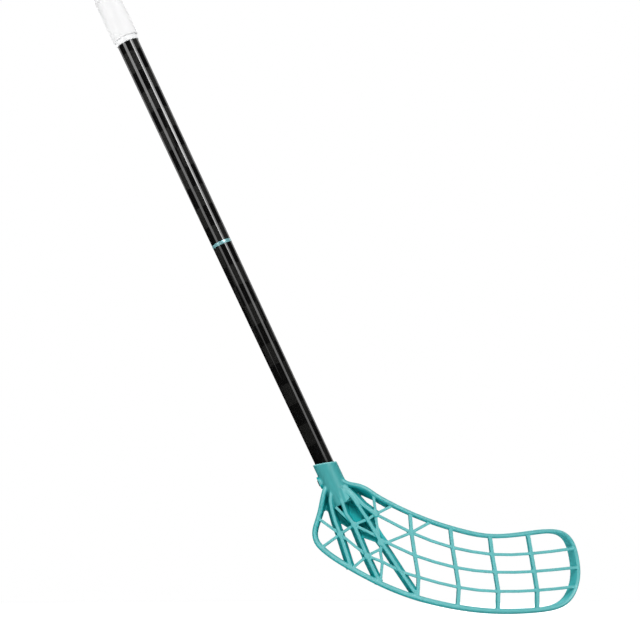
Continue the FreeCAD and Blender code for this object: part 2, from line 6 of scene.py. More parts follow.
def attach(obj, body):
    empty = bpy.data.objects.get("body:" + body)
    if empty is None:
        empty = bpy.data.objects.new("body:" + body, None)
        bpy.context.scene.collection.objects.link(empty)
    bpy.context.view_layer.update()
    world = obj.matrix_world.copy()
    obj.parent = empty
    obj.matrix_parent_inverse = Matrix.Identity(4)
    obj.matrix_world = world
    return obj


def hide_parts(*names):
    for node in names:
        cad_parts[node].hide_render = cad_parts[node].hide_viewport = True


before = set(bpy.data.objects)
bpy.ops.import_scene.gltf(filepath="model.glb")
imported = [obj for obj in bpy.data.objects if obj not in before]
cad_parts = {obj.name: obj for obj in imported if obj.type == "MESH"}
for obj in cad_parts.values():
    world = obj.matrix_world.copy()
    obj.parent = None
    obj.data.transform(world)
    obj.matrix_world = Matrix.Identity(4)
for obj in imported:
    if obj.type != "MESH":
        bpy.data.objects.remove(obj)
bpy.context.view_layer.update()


# ---- Shaft ---------------------------------------------------------------------------------------
# A tapered tube, rolled from flat-tow carbon cloth over a mandrel, cured and lacquered. The cloth is
# a check of large squares, half of them with their fibres along the tube and half round it. The lighter
# squares carry a painted sheen, which fades towards the foot as painted shade.

LIE = np.radians(25.1)
UP_SHAFT = np.array([-np.sin(LIE), 0.0, np.cos(LIE)])
TOEWARDS = np.array([np.cos(LIE), 0.0, np.sin(LIE)])
VIEWERWARDS = np.array([0.0, -1.0, 0.0])
MOUTH = -0.7000 * UP_SHAFT

SHAFT_FOOT, BAND_LEVEL, SHAFT_TOP, TAPER_ROWS = -0.0457, 0.5199, 0.8743, 40
FOOT_RADIUS, GRIP_RADIUS, SHAFT_WALL = 0.0099, 0.0122, 0.0015
WEAVE_ROW, WEAVE_FIRST_ROW, WEAVE_COLUMNS = 0.0242, 0.4352, 4
WEAVE_EDGE_TURNS, WEAVE_EDGE_LEVEL, WEAVE_TWIST = 0.5 + 16.0 / 360.0, 0.47, 0.60
# The lighter squares of the weave are a painted sheen, and it fades towards the foot as painted shade.
SHADE_PAINTED_LEVELS, SHADE_PAINTED_SHARES = (0.05, 0.40), (0.45, 1.0)
FIBRES_ALONG, FIBRES_ROUND = (130.0, 60.0), (5.0, 1700.0)
SHEEN_PAINTED_TOW = (0.007, 0.007, 0.0065, 1), (0.030, 0.030, 0.0285, 1)
DARK_TOW = (0.0020, 0.0020, 0.0020, 1), (0.0062, 0.0062, 0.0060, 1)


def turned(name, levels, radii, loop, around=144, origin=MOUTH, axis=UP_SHAFT, front=VIEWERWARDS,
           side=TOEWARDS, crease=35.0):
    """A turned surface: at each turn angle the profile of levels along the axis and radii from it is
    carried round, so a point is origin + axis * level + (front * cos + side * sin) * radius. Levels and
    radii may vary with the angle too. A loop closes the profile on itself; otherwise flat discs close
    both ends. The map "wrap" holds turns (0.5 at the front) and the level in metres."""
    turns = np.arange(around + 1) / around
    angle = (turns[:-1] - 0.5) * 2 * np.pi
    levels = np.broadcast_to(np.reshape(levels, (len(levels), -1)), (len(levels), around))
    radii = np.broadcast_to(np.reshape(radii, (len(radii), -1)), levels.shape)
    outwards = np.outer(np.cos(angle), front) + np.outer(np.sin(angle), side)
    points = origin + levels[..., None] * axis + radii[..., None] * outwards
    rows = len(levels)
    first = np.arange(rows if loop else rows - 1)
    low = (first[:, None] * around + np.arange(around)).ravel()
    low_next = (first[:, None] * around + (np.arange(around) + 1) % around).ravel()
    step = ((first + 1) % rows - first)[:, None].repeat(around, 1).ravel() * around
    faces = np.stack([low, low_next, low_next + step, low + step], -1).tolist()
    column = np.tile(np.arange(around), len(first))
    row = np.repeat(first, around)
    row_next = (row + 1) % rows
    here = levels[:, 0]
    wrap = np.stack([
        np.stack([turns[column], here[row]], -1), np.stack([turns[column + 1], here[row]], -1),
        np.stack([turns[column + 1], here[row_next]], -1), np.stack([turns[column], here[row_next]], -1),
    ], 1).reshape(-1, 2)
    if not loop:
        ring = np.arange(around)
        faces += [ring[::-1].tolist(), (ring + (rows - 1) * around).tolist()]
        wrap = np.concatenate([
            wrap, np.stack([turns[ring[::-1]], np.full(around, here[0])], -1),
            np.stack([turns[ring], np.full(around, here[-1])], -1),
        ])
    mesh = bpy.data.meshes.new(name)
    mesh.from_pydata(points.reshape(-1, 3), [], faces)
    mesh.uv_layers.new(name="wrap").data.foreach_set("uv", wrap.astype(np.float32).ravel())
    mesh.polygons.foreach_set("use_smooth", np.ones(len(faces), bool))
    mesh.set_sharp_from_angle(angle=np.radians(crease))
    piece = bpy.data.objects.new(name, mesh)
    bpy.context.scene.collection.objects.link(piece)
    return piece


def finish(name, **sockets):
    """A node material named for its finish, with constant sockets of its shader set."""
    material = bpy.data.materials.new(name)
    material.use_nodes = True
    shader = material.node_tree.nodes["Principled BSDF"]
    for socket, value in sockets.items():
        shader.inputs[socket.replace("_", " ")].default_value = value
    return material, material.node_tree, shader


def node(tree, kind, inputs=None, **settings):
    """One node: its settings, then each input set to a value or joined to another node's output."""
    made = tree.nodes.new("ShaderNode" + kind)
    for setting, value in settings.items():
        setattr(made, setting, value)
    for socket, value in (inputs or {}).items():
        if isinstance(value, bpy.types.NodeSocket):
            tree.links.new(value, made.inputs[socket])
        else:
            made.inputs[socket].default_value = value
    return made.outputs


def sums(tree, operation, first, second=0.0):
    """One sum on two numbers."""
    return node(tree, "Math", {0: first, 1: second}, operation=operation)[0]


def ramp(tree, value, start, end, low=0.0, high=1.0, **settings):
    """A number that goes from low to high while the value goes from start to end, and no further."""
    return node(tree, "MapRange", {0: value, 1: start, 2: end, 3: low, 4: high}, **settings)[0]


def blend(tree, share, first, second):
    """A colour between two, by a share from 0 to 1."""
    return node(tree, "Mix", {0: share, 6: first, 7: second}, data_type="RGBA")[2]


def noise(tree, place, scale, detail):
    """Cloudy noise at a place, with so many cells to a unit of it and so many finer layers."""
    return node(tree, "TexNoise", {"Vector": place, "Scale": scale, "Detail": detail})[0]


def on_wrap(tree, cells):
    """A place on the map "wrap", counted in cells: so many to a turn and so many to a metre."""
    wrap = node(tree, "UVMap", uv_map="wrap")[0]
    return node(tree, "VectorMath", {0: wrap, 1: (*cells, 0.0)}, operation="MULTIPLY")[0]


def shaft_radius(level):
    """Straight in the socket, then a straight taper to the grip, then straight again."""
    share = np.clip(level / BAND_LEVEL, 0.0, 1.0)
    return FOOT_RADIUS + (GRIP_RADIUS - FOOT_RADIUS) * share


shaft_levels = np.concatenate([[SHAFT_FOOT], np.linspace(0.0, BAND_LEVEL, TAPER_ROWS), [SHAFT_TOP]])
shaft = turned(
    "shaft", np.concatenate([shaft_levels, shaft_levels[::-1]]),
    np.concatenate([shaft_radius(shaft_levels), shaft_radius(shaft_levels[::-1]) - SHAFT_WALL]), loop=True,
)

carbon, tree, shader = finish(
    "lacquered_carbon", Roughness=0.5, Specular_IOR_Level=0.0, Coat_Weight=1.0, Coat_Roughness=0.05,
    Coat_IOR=1.5,
)
place = node(tree, "SeparateXYZ", {0: node(tree, "UVMap", uv_map="wrap")[0]})
level = place[1]
turns_here = sums(tree, "SUBTRACT", place[0], sums(tree, "MULTIPLY", level, WEAVE_TWIST))
column = sums(tree, "FLOOR", sums(
    tree, "MULTIPLY",
    sums(tree, "SUBTRACT", turns_here, WEAVE_EDGE_TURNS - WEAVE_TWIST * WEAVE_EDGE_LEVEL), WEAVE_COLUMNS))
row = sums(tree, "FLOOR", sums(
    tree, "DIVIDE", sums(tree, "SUBTRACT", level, WEAVE_FIRST_ROW), WEAVE_ROW))
check_with_painted_sheen = sums(tree, "FLOORED_MODULO", sums(tree, "ADD", column, row), 2.0)
# The lighter squares are a painted sheen on the real check, dimmed towards the foot as painted shade.
check_with_painted_sheen = sums(tree, "MULTIPLY", check_with_painted_sheen, ramp(tree, level, *SHADE_PAINTED_LEVELS, *SHADE_PAINTED_SHARES))
painted_sheen_tow = blend(tree, noise(tree, on_wrap(tree, FIBRES_ROUND), scale=1.0, detail=2.0), *SHEEN_PAINTED_TOW)
dark_tow = blend(tree, noise(tree, on_wrap(tree, FIBRES_ALONG), scale=1.0, detail=2.0), *DARK_TOW)
tree.links.new(blend(tree, check_with_painted_sheen, dark_tow, painted_sheen_tow), shader.inputs["Base Color"])
shaft.data.materials.append(carbon)
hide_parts("shaft_tube")
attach(shaft, "stick")


# ---- Ring mark -----------------------------------------------------------------------------------
# A narrow band of teal foil laid round the shaft above the blade and lacquered over with it.
# Like the band and the grip, it starts a hair under the shaft's surface.

RING_LOW, RING_LONG, RING_THICK, SUNK = 0.2666, 0.0038, 0.00015, 0.00001
RING_ALONG = np.array([0.0, 0.0, 0.06, 0.5, 0.94, 1.0, 1.0])
RING_RISE = np.array([0.0, 0.6, 1.0, 1.0, 1.0, 0.6, 0.0])
FOIL_BRUSHING, FOIL_TEAL = (26.0, 900.0), [(0.12, 0.32, 0.34, 1), (0.25, 0.50, 0.53, 1)]

ring_levels = RING_LOW + RING_LONG * RING_ALONG
ring = turned("ring", ring_levels, shaft_radius(ring_levels) + RING_THICK * RING_RISE - SUNK, loop=True)
foil, tree, shader = finish(
    "teal_foil", Roughness=0.35, Metallic=0.15, Coat_Weight=1.0, Coat_Roughness=0.05, Coat_IOR=1.5)
brushed = noise(tree, on_wrap(tree, FOIL_BRUSHING), scale=1.0, detail=3.0)
tree.links.new(blend(tree, brushed, *FOIL_TEAL), shader.inputs["Base Color"])
ring.data.materials.append(foil)
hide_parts("ring_mark")
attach(ring, "stick")


# ---- Finishing band ------------------------------------------------------------------------------
# A turn of thin white tape that holds the lower end of the grip down on the shaft.
# Its lower edge is pressed down round, and its upper edge meets the grip square.

BAND_LONG, BAND_THICK = 0.0058, 0.00075
BAND_ALONG = np.array([0.0, 0.0, 0.02, 0.06, 0.5, 1.0, 1.0])
BAND_RISE = np.array([0.0, 0.55, 0.9, 1.0, 1.0, 1.0, 0.0])
TAPE_STRETCH, TAPE_WHITE = (40.0, 500.0), [(0.80, 0.81, 0.82, 1), (0.90, 0.90, 0.90, 1)]


def bumps(tree, shader, height, strength, rise):
    """Fine bumps in the shader's normal, by a height, with a strength and a rise in metres."""
    bump = node(tree, "Bump", {"Strength": strength, "Distance": rise, "Height": height})[0]
    tree.links.new(bump, shader.inputs["Normal"])


band = turned(
    "finishing_band", BAND_LEVEL + BAND_LONG * BAND_ALONG, GRIP_RADIUS + BAND_THICK * BAND_RISE - SUNK,
    loop=True)
tape, tree, shader = finish("white_tape", Roughness=0.5)
stretch = noise(tree, on_wrap(tree, TAPE_STRETCH), scale=1.0, detail=2.0)
tree.links.new(blend(tree, stretch, *TAPE_WHITE), shader.inputs["Base Color"])
bumps(tree, shader, stretch, strength=0.15, rise=0.0002)
band.data.materials.append(tape)
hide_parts("grip_band")
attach(band, "stick")


# ---- Grip ----------------------------------------------------------------------------------------
# A padded white grip strip, wound up the shaft edge to edge in one long spiral and stuck down. Each
# edge is skived thin, so the turns meet in a shallow seam.

GRIP_LOW, GRIP_LONG, GRIP_THICK = 0.5257, 0.3486, 0.0023
GRIP_TURN, GRIP_SEAM_LEVEL, SEAM_DEPTH, SEAM_HALF = 0.0420, 0.5695, 0.00030, 0.0011
END_LEVELS, END_LONG, END_ROUND, END_DROP = np.array([0.0, 0.0003, 0.0006, 0.0009]), 0.0012, 0.0010, 0.45
GRIP_ROWS, GRIP_AROUND = 640, 144
GRIP_PORES, HANDLING = (110.0, 1240.0), 60.0
GRIP_WHITE = (0.855, 0.855, 0.86, 1), (0.905, 0.905, 0.905, 1)

grip_levels = GRIP_LOW + np.concatenate([
    END_LEVELS, np.linspace(END_LONG, GRIP_LONG - END_LONG, GRIP_ROWS), GRIP_LONG - END_LEVELS[::-1]])
grip_angle = (np.arange(GRIP_AROUND) / GRIP_AROUND - 0.5) * 2 * np.pi
climb = (grip_levels[:, None] - GRIP_SEAM_LEVEL) / GRIP_TURN + grip_angle / (2 * np.pi)
from_seam = (climb - np.round(climb)) * GRIP_TURN
seam = SEAM_DEPTH * np.exp(-(from_seam / SEAM_HALF) ** 2)
end_share = np.minimum(grip_levels - GRIP_LOW, GRIP_LOW + GRIP_LONG - grip_levels) / END_ROUND
end_round = 1 - np.clip(1 - end_share, 0.0, 1.0) ** 2 * END_DROP
grip_outer = GRIP_RADIUS + (GRIP_THICK - seam) * end_round[:, None]
grip_inner = np.full((2, GRIP_AROUND), GRIP_RADIUS - SUNK)
grip = turned(
    "grip_wrap", np.concatenate([grip_levels, grip_levels[[-1, 0]]]),
    np.concatenate([grip_outer, grip_inner]), loop=True, around=GRIP_AROUND,
)
wrap_skin, tree, shader = finish("white_grip_skin", Roughness=0.62, Specular_IOR_Level=0.35)
pores = node(tree, "TexVoronoi", {"Vector": on_wrap(tree, GRIP_PORES), "Scale": 1.0})[0]
handled = noise(tree, node(tree, "TexCoord")["Object"], HANDLING, detail=4.0)
tree.links.new(blend(tree, handled, *GRIP_WHITE), shader.inputs["Base Color"])
bumps(tree, shader, pores, strength=0.12, rise=0.0002)
grip.data.materials.append(wrap_skin)
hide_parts("grip")
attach(grip, "stick")


# ---- End cap -------------------------------------------------------------------------------------
# A moulded black rubber cap with a rounded head, pressed into the open upper end of the tube by its
# ribbed plug.

CAP_SEAT, CAP_HEAD, CAP_PLUG, CAP_ROUND = 0.8744, 0.0130, 0.0340, 0.0050
CAP_RADIUS, CAP_FIT, CAP_EDGE, CAP_MIDDLE = 0.0142, 0.0001, 0.0004, 0.004
CAP_SIDE = np.array([0.05, 0.3, 0.55])
PLUG_LEAD, PLUG_TAPER, PLUG_STOP, PLUG_ROWS = 0.002, 0.0015, 0.001, 61
RIB_PITCH, RIB_DEPTH = 0.006, 0.00035
RUBBER_GRAIN, RUBBER_BLACK = 900.0, [(0.010, 0.010, 0.011, 1), (0.028, 0.028, 0.029, 1)]

bore = GRIP_RADIUS - SHAFT_WALL - CAP_FIT
bend = np.linspace(0, np.pi / 2, 13)
plug_levels = np.linspace(-CAP_PLUG + PLUG_LEAD, -PLUG_STOP, PLUG_ROWS)
cap_levels = CAP_SEAT + np.concatenate([
    [-CAP_PLUG], plug_levels, [0.0, 0.0], CAP_HEAD * CAP_SIDE,
    CAP_HEAD - CAP_ROUND + CAP_ROUND * np.sin(bend), [CAP_HEAD],
])
ribs = 0.5 - 0.5 * np.cos(2 * np.pi * (plug_levels + CAP_PLUG - PLUG_LEAD) / RIB_PITCH)
cap_radii = np.concatenate([
    [bore - PLUG_TAPER], bore - RIB_DEPTH * ribs, [bore, CAP_RADIUS - CAP_EDGE],
    np.full(len(CAP_SIDE), CAP_RADIUS), CAP_RADIUS - CAP_ROUND + CAP_ROUND * np.cos(bend), [CAP_MIDDLE],
])
cap = turned("end_cap_moulding", cap_levels, cap_radii, loop=False)
cap_rubber, tree, shader = finish("black_rubber", Roughness=0.62, Specular_IOR_Level=0.4)
grain = noise(tree, node(tree, "TexCoord")["Object"], RUBBER_GRAIN, detail=3.0)
tree.links.new(blend(tree, grain, *RUBBER_BLACK), shader.inputs["Base Color"])
bumps(tree, shader, grain, strength=0.2, rise=0.0002)
cap.data.materials.append(cap_rubber)
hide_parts("end_cap")
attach(cap, "end_cap")


# ---- Socket glue ---------------------------------------------------------------------------------
# Hot-melt glue, run into the blade's socket before the foot of the shaft is pushed in. It stays the
# plain film that the tube leaves for it.

GLUE_CLOUDS, GLUE_AMBER = 180.0, [(0.62, 0.54, 0.34, 1), (0.76, 0.69, 0.50, 1)]

glue, tree, shader = finish("set_glue", Roughness=0.35)
clouds = noise(tree, node(tree, "TexCoord")["Object"], GLUE_CLOUDS, detail=3.0)
tree.links.new(blend(tree, clouds, *GLUE_AMBER), shader.inputs["Base Color"])
glue_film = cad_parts["socket_glue"]
glue_film.data.materials.clear()
glue_film.data.materials.append(glue)


# ---- Blade ---------------------------------------------------------------------------------------
# One moulding in teal plastic: the neck with its socket, the rim, and the lattice of ribs between.
# A mould leaves every edge and corner of it rounded, so its solid is softened all over. A painted
# sheen lightens the near faces, a weaker and greyer painted sheen lies on the front of the neck, a painted
# highlight runs round the lip of the mouth, and the walls towards the toe are painted lighter.

SOFTENING_GRID, SOFTENING_STEPS, SOFTENING_SHARES = 0.0005, 5, [0.5, -0.53]
WELD_WITHIN, BLADE_FACES = 0.000001, 195000
BEND_START, BEND_RADIUS, FACE_STAND = 0.3506, 0.476, 0.01505
MOUTH_SQUARE, FACE_SHEEN_SIDE = (-0.1754, 0.0, 0.9845), (0.0, -0.90, 0.44)
NECK_RADII, NECK_END, NECK_FRONT, NECK_SHARE = (0.0131, 0.0136), -0.0490, (0.004, -0.002), 0.5
FACE_DEPTHS, ROOT_DEPTHS, ROOT_END = (0.0030, 0.0016), (0.0062, 0.0048), -0.0430
LIP_LEVELS, FACE_SHEEN_FACINGS, TOE_LIGHT_FROM = (-0.0016, -0.0006), (0.55, 0.80), (0.395, 0.445)
# Of these teals only the first pair is the plastic's own colour. The next is painted light on the walls
# towards the toe, then a painted sheen on the near faces, a weaker and greyer painted sheen on the front of
# the neck, and a painted highlight on the lip.
DEEP_TEAL = (0.006, 0.368, 0.380, 1), (0.018, 0.410, 0.422, 1)
PAINTED_TOE_LIGHT = (0.060, 0.455, 0.470, 1), (0.078, 0.495, 0.510, 1)
PAINTED_FACE_SHEEN = (0.100, 0.450, 0.457, 1), (0.138, 0.490, 0.497, 1)
PAINTED_NECK_SHEEN = (0.040, 0.335, 0.343, 1), (0.052, 0.360, 0.366, 1)
PAINTED_LIP_HIGHLIGHT = (0.21, 0.60, 0.60, 1)
PLASTIC_SHINE, PLASTIC_ROUGHNESS = (0.10, 0.45), (0.36, 0.46)
PLASTIC_CLOUDS, PLASTIC_GRAIN = 45.0, 1500.0


def laid_out(piece):
    """The piece's mesh as its modifiers leave it, and the modifiers taken off."""
    bpy.context.view_layer.update()
    mesh = bpy.data.meshes.new_from_object(piece.evaluated_get(bpy.context.evaluated_depsgraph_get()))
    piece.modifiers.clear()
    return mesh


def softened(name, solid):
    """The solid's surface, laid out afresh on an even grid and evened out: in each step every point
    moves a half of the way to the mean of its neighbours and then a little more than that back, which
    rounds edges and fills corners while the bars keep their width."""
    piece = bpy.data.objects.new(name, solid.data.copy())
    bpy.context.scene.collection.objects.link(piece)
    piece.modifiers.new("joined", "WELD").merge_threshold = WELD_WITHIN
    even = piece.modifiers.new("even", "REMESH")
    even.mode, even.voxel_size = "VOXEL", SOFTENING_GRID
    mesh = laid_out(piece)
    points = np.empty(len(mesh.vertices) * 3, np.float32)
    mesh.vertices.foreach_get("co", points)
    points = points.reshape(-1, 3).astype(float)
    edges = np.empty(len(mesh.edges) * 2, np.int32)
    mesh.edges.foreach_get("vertices", edges)
    here, there = np.concatenate([edges[0::2], edges[1::2]]), np.concatenate([edges[1::2], edges[0::2]])
    count = np.bincount(here, minlength=len(points))[:, None]
    for share in SOFTENING_SHARES * SOFTENING_STEPS:
        total = np.stack([np.bincount(here, points[there, axis], len(points)) for axis in range(3)], -1)
        points += share * (total / count - points)
    mesh.vertices.foreach_set("co", points.astype(np.float32).ravel())
    piece.data = mesh
    piece.modifiers.new("thinned", "DECIMATE").ratio = min(1.0, BLADE_FACES / (2.0 * len(mesh.polygons)))
    piece.data = laid_out(piece)
    piece.data.materials.clear()
    piece.data.polygons.foreach_set("use_smooth", np.ones(len(piece.data.polygons), bool))
    return piece


def measure(tree, operation, first, second=(0.0, 0.0, 0.0)):
    """One number from two vectors: their dot product, their distance, or the length of the first."""
    return node(tree, "VectorMath", {0: first, 1: second}, operation=operation)["Value"]


def behind_face(tree, x, y):
    """How deep a place lies behind the blade's near face: y + stand - (R - sqrt(R^2 - reach^2)), where
    R is the radius of the hook and reach is x less the place where the hook starts."""
    reach = sums(tree, "SUBTRACT", x, BEND_START)
    chord = sums(tree, "SUBTRACT", BEND_RADIUS ** 2, sums(tree, "MULTIPLY", reach, reach))
    hook = sums(tree, "SUBTRACT", BEND_RADIUS, sums(tree, "SQRT", chord))
    return sums(tree, "SUBTRACT", sums(tree, "ADD", y, FACE_STAND), hook)


blade = softened("blade_moulding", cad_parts["blade"])
teal, tree, shader = finish("teal_plastic")
coordinates = node(tree, "TexCoord")
place = coordinates["Object"]
x, y = node(tree, "SeparateXYZ", {0: place})[:2]
clouds = noise(tree, place, PLASTIC_CLOUDS, detail=3.0)
depth = behind_face(tree, x, y)
from_mouth = node(tree, "VectorMath", {0: place, 1: MOUTH}, operation="SUBTRACT")[0]
up_neck = measure(tree, "DOT_PRODUCT", from_mouth, UP_SHAFT)
square_off = node(tree, "VectorMath", {0: from_mouth, 1: UP_SHAFT}, operation="CROSS_PRODUCT")[0]
off_neck = ramp(tree, measure(tree, "LENGTH", square_off), *NECK_RADII)
# Painted sheen: near faces that face forward and up, with the rim's root by the neck, get a lighter teal.
at_root = sums(
    tree, "MULTIPLY", sums(tree, "GREATER_THAN", up_neck, ROOT_END), ramp(tree, depth, *ROOT_DEPTHS))
shallow = sums(tree, "MAXIMUM", at_root, ramp(tree, depth, *FACE_DEPTHS))
# The front of the neck gets a weaker, greyer painted sheen of its own.
on_front = sums(
    tree, "MULTIPLY", sums(tree, "GREATER_THAN", up_neck, NECK_END), ramp(tree, y, *NECK_FRONT))
neck = sums(tree, "MULTIPLY", sums(tree, "SUBTRACT", 1.0, off_neck), on_front)
forward = ramp(tree, measure(tree, "DOT_PRODUCT", coordinates["Normal"], FACE_SHEEN_SIDE), *FACE_SHEEN_FACINGS)
painted_sheen_mask = sums(tree, "MULTIPLY", off_neck, sums(tree, "MULTIPLY", shallow, forward))
# A painted highlight runs round the lip of the mouth.
lip = ramp(tree, measure(tree, "DOT_PRODUCT", from_mouth, MOUTH_SQUARE), *LIP_LEVELS)
# Walls towards the toe are painted lighter, as painted light.
walls = blend(
    tree, ramp(tree, x, *TOE_LIGHT_FROM), blend(tree, clouds, *DEEP_TEAL), blend(tree, clouds, *PAINTED_TOE_LIGHT))
teal_with_painted_light = blend(tree, painted_sheen_mask, walls, blend(tree, clouds, *PAINTED_FACE_SHEEN))
teal_with_painted_light = blend(tree, neck, teal_with_painted_light, blend(tree, clouds, *PAINTED_NECK_SHEEN))
tree.links.new(blend(tree, lip, teal_with_painted_light, PAINTED_LIP_HIGHLIGHT), shader.inputs["Base Color"])
open_air = sums(tree, "MAXIMUM", sums(tree, "MULTIPLY", neck, NECK_SHARE), shallow)
tree.links.new(ramp(tree, open_air, 0.0, 1.0, *PLASTIC_SHINE), shader.inputs["Specular IOR Level"])
tree.links.new(ramp(tree, clouds, 0.0, 1.0, *PLASTIC_ROUGHNESS), shader.inputs["Roughness"])
bumps(tree, shader, noise(tree, place, PLASTIC_GRAIN, detail=2.0), strength=0.05, rise=0.0001)
blade.data.materials.append(teal)
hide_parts("blade")
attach(blade, "stick")


# ---- Blade screw ---------------------------------------------------------------------------------
# A short blackened steel screw with a six-sided recess, driven through the pad on the neck's heel
# side into the tube, so that the blade can't twist or pull off.

SCREW_DROP, SCREW_TIP, SCREW_SEAT, SCREW_TOP = 0.0172, 0.0054, 0.01345, 0.01565
SHANK_RADIUS, TIP_RADIUS, TIP_LONG, UNDER_HEAD = 0.0020, 0.0009, 0.0016, 0.0003
HEAD_RADIUS, HEAD_ROUND = 0.0036, 0.0008
RECESS_WIDE, RECESS_DEEP, RECESS_DRAFT = 0.0026, 0.0014, 0.97
THREAD_PITCH, THREAD_DEPTH, THREAD_FORM, THREAD_ROWS = 0.0012, 0.00035, 0.7, 70
SCREW_AROUND = 72
STEEL_SCUFFS, STEEL_BLACK = 1400.0, [(0.020, 0.024, 0.028, 1), (0.060, 0.066, 0.072, 1)]
STEEL_ROUGHNESS = 0.3, 0.55


def plain(values):
    """Values that are the same at every angle of the screw."""
    return np.repeat(np.reshape(values, (-1, 1)), SCREW_AROUND, 1)


screw_angle = (np.arange(SCREW_AROUND) / SCREW_AROUND - 0.5) * 2 * np.pi
shank_levels = np.linspace(SCREW_TIP + TIP_LONG, SCREW_SEAT - UNDER_HEAD, THREAD_ROWS)
wave = (shank_levels[:, None] / THREAD_PITCH - screw_angle / (2 * np.pi)) % 1.0
shank = SHANK_RADIUS - THREAD_DEPTH * np.abs(2 * wave - 1) ** THREAD_FORM
six_sides = RECESS_WIDE / 2 / np.cos((screw_angle % (np.pi / 3)) - np.pi / 6)
bend = np.linspace(0, np.pi / 2, 7)
screw_levels = np.concatenate([
    plain([SCREW_TIP]), plain(shank_levels), plain([SCREW_SEAT, SCREW_SEAT]),
    plain(SCREW_TOP - HEAD_ROUND + HEAD_ROUND * np.sin(bend)), plain([SCREW_TOP, SCREW_TOP - RECESS_DEEP]),
])
screw_radii = np.concatenate([
    plain([TIP_RADIUS]), shank, plain([SHANK_RADIUS, HEAD_RADIUS]),
    plain(HEAD_RADIUS - HEAD_ROUND + HEAD_ROUND * np.cos(bend)), six_sides[None],
    six_sides[None] * RECESS_DRAFT,
])
screw = turned(
    "screw", screw_levels, screw_radii, loop=False, around=SCREW_AROUND,
    origin=MOUTH - SCREW_DROP * UP_SHAFT, axis=-TOEWARDS, front=UP_SHAFT, side=-VIEWERWARDS,
)
steel, tree, shader = finish("blackened_steel", Metallic=0.9)
scuffs = noise(tree, node(tree, "TexCoord")["Object"], STEEL_SCUFFS, detail=4.0)
tree.links.new(blend(tree, scuffs, *STEEL_BLACK), shader.inputs["Base Color"])
tree.links.new(ramp(tree, scuffs, 0.0, 1.0, *STEEL_ROUGHNESS), shader.inputs["Roughness"])
screw.data.materials.append(steel)
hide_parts("blade_screw")
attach(screw, "blade_screw")


# ---- Floor and light -----------------------------------------------------------------------------
# A pale floor that runs out into a white surround. Two tall soft boxes and a dark tent with slots draw
# the lines down the lacquer, and a dark strip and wall lie behind the blade for its sheen. A wide box
# lights the front, another the back, and three small lamps the lower end of the grip.

FLOOR_LEVEL, FLOOR_HALF, FLOOR_MIDDLE = -0.7977, 9.0, (0.43, 0.0, -0.7977)
FLOOR_PALE, FLOOR_FAR = (0.86, 0.86, 0.86, 1), (0, 0, 0, 1)
FLOOR_FADE, FLOOR_GLOW, SURROUND_GLOW = (0.45, 1.1), (0.66, 1.0), (0.19, 1.0)


def seen_rays(tree):
    """1 for rays that come from the camera, a gloss or a clear piece, and 0 for the rest."""
    path = node(tree, "LightPath")
    return sums(
        tree, "MAXIMUM", sums(tree, "MAXIMUM", path["Is Camera Ray"], path["Is Glossy Ray"]),
        path["Is Transmission Ray"])


floor_mesh = bpy.data.meshes.new("floor")
floor_mesh.from_pydata(
    np.array([[-1, -1, 0], [1, -1, 0], [1, 1, 0], [-1, 1, 0]]) * FLOOR_HALF + [0, 0, FLOOR_LEVEL],
    [], [[0, 1, 2, 3]])
floor = bpy.data.objects.new("floor", floor_mesh)
bpy.context.scene.collection.objects.link(floor)
pale, tree, shader = finish("pale_floor", Roughness=0.9, Specular_IOR_Level=0.0, Emission_Color=(1, 1, 1, 1))
away = measure(tree, "DISTANCE", node(tree, "TexCoord")["Object"], FLOOR_MIDDLE)
far_out = ramp(tree, away, *FLOOR_FADE, interpolation_type="SMOOTHSTEP")
tree.links.new(blend(tree, far_out, FLOOR_PALE, FLOOR_FAR), shader.inputs["Base Color"])
tree.links.new(
    sums(tree, "MULTIPLY", seen_rays(tree), ramp(tree, far_out, 0.0, 1.0, *FLOOR_GLOW)),
    shader.inputs["Emission Strength"])
floor_mesh.materials.append(pale)

world = bpy.context.scene.world or bpy.data.worlds.new("surround")
bpy.context.scene.world = world
world.use_nodes = True
tree = world.node_tree
surround = tree.nodes["Background"]
surround.inputs["Color"].default_value = (1, 1, 1, 1)
tree.links.new(ramp(tree, seen_rays(tree), 0.0, 1.0, *SURROUND_GLOW), surround.inputs["Strength"])

EVEN = [(0.0, 1.0), (1.0, 1.0)]
SHAFT_BOX_LEVEL, SHAFT_BOX_AWAY, SHAFT_BOX_LONG = 0.75, 2.2, 1.30
# Each shaft box: its name, degrees round the shaft, width, glow, and the levels of its fade.
SHAFT_BOXES = [
    ("left_box", -41.0, 1.05, 6.0, [
        (0.0, 0.0), (1.0, 0.6), (0.23, 0.03), (0.32, 0.26), (0.48, 0.35), (0.61, 0.52), (0.70, 0.77)]),
    ("right_box", 41.0, 1.30, 12.0, [
        (0.0, 0.12), (1.0, 0.3), (0.07, 0.14), (0.19, 0.17), (0.32, 0.22), (0.48, 0.31), (0.61, 0.74),
        (0.70, 0.40)]),
]
BLADE_MIDDLE = np.array([0.43, 0.0, -0.72])
STICK_MIDDLE = 0.5 * BLADE_MIDDLE
WIDE_BOX, FRONT_GLOW, BACK_GLOW = 1.4, 9.5, 7.0
FRONT_BOX = BLADE_MIDDLE + [0.28, -2.1, 1.75]
BACK_BOX = STICK_MIDDLE + [0.10, 2.1, 1.30]
GRIP_FOOT = MOUTH + BAND_LEVEL * UP_SHAFT
GRIP_LAMP_WIDE, GRIP_LAMP_LONG = 0.25, 0.30
# Each grip lamp: its name, degrees round the shaft, level along it, distance from it, and glow.
GRIP_LAMPS = [
    ("left_edge", -85.0, 0.50, 0.45, 6.8), ("right_edge", 105.0, 0.50, 0.45, 1.5),
    ("grip_front", -20.0, 0.26, 0.50, 0.9),
]


